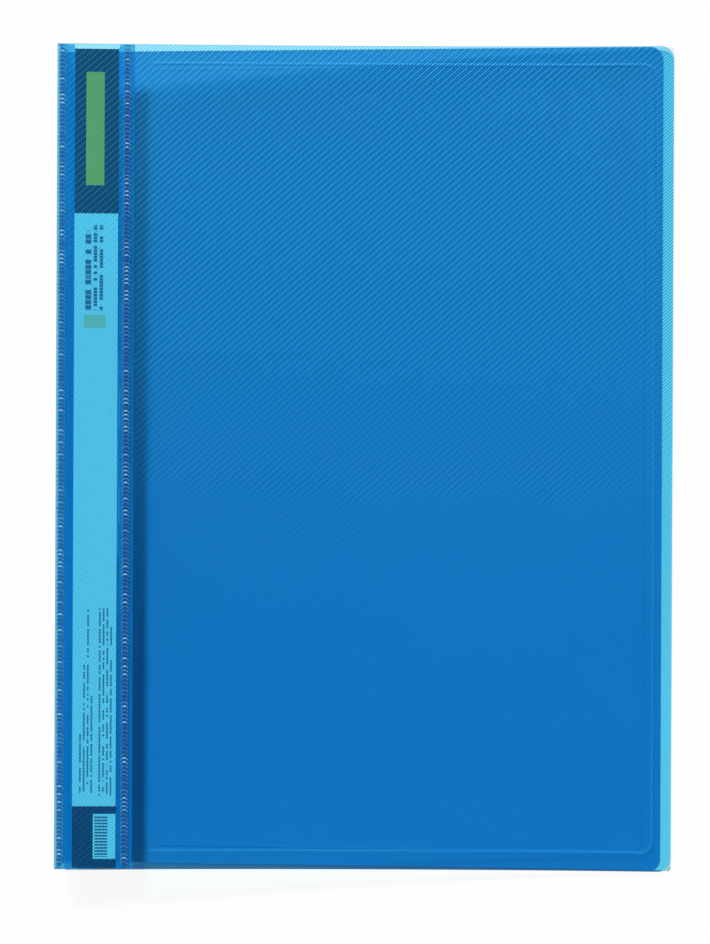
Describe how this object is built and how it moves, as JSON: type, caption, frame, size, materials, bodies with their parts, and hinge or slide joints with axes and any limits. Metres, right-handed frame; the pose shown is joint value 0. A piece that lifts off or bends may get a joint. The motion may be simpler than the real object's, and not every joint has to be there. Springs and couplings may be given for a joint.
{
  "type": "fastener folder",
  "caption": "Translucent plastic folder for A4 sheets, with a wide spine, a full-height label pocket on its front cover and a spring wire clip inside.",
  "frame": {"origin": "middle of the underside of the closed folder, which lies on its back cover", "axes": "+X from the spine to the fore edge, +Y up the pages, +Z from the back cover to the front cover"},
  "size_m": [0.231, 0.31, 0.02],
  "materials": {
    "cover_plastic": "translucent blue polypropylene, embossed with fine slanting lines",
    "strip_plastic": "translucent blue polypropylene, smooth",
    "label_paper": "matt white card with plain dark fields and bars",
    "fastener_steel": "bright nickel-plated strip"
  },
  "bodies": {
    "back": {"back_cover": "cover_plastic", "base_plate": "fastener_steel", "post_upper": "fastener_steel", "post_lower": "fastener_steel", "rivet_upper": "fastener_steel", "rivet_lower": "fastener_steel"},
    "spine": {"spine_panel": "cover_plastic"},
    "front": {"front_cover": "cover_plastic", "label_backing": "strip_plastic", "label_card": "label_paper"},
    "clip": {"wire_clip": "fastener_steel"}
  },
  "joints": [
    {"name": "spine_fold", "type": "hinge", "parent": "back", "child": "spine", "pos_m": [-0.1155, 0, 0], "axis": [0, -1, 0], "range_deg": [0, 90]},
    {"name": "cover_fold", "type": "hinge", "parent": "spine", "child": "front", "pos_m": [-0.1155, 0, 0.02], "axis": [0, -1, 0], "range_deg": [0, 94.5]},
    {"name": "clip_swing", "type": "hinge", "parent": "back", "child": "clip", "pos_m": [-0.095, 0, 0.0039], "axis": [0, 1, 0], "range_deg": [0, 90]}
  ]
}
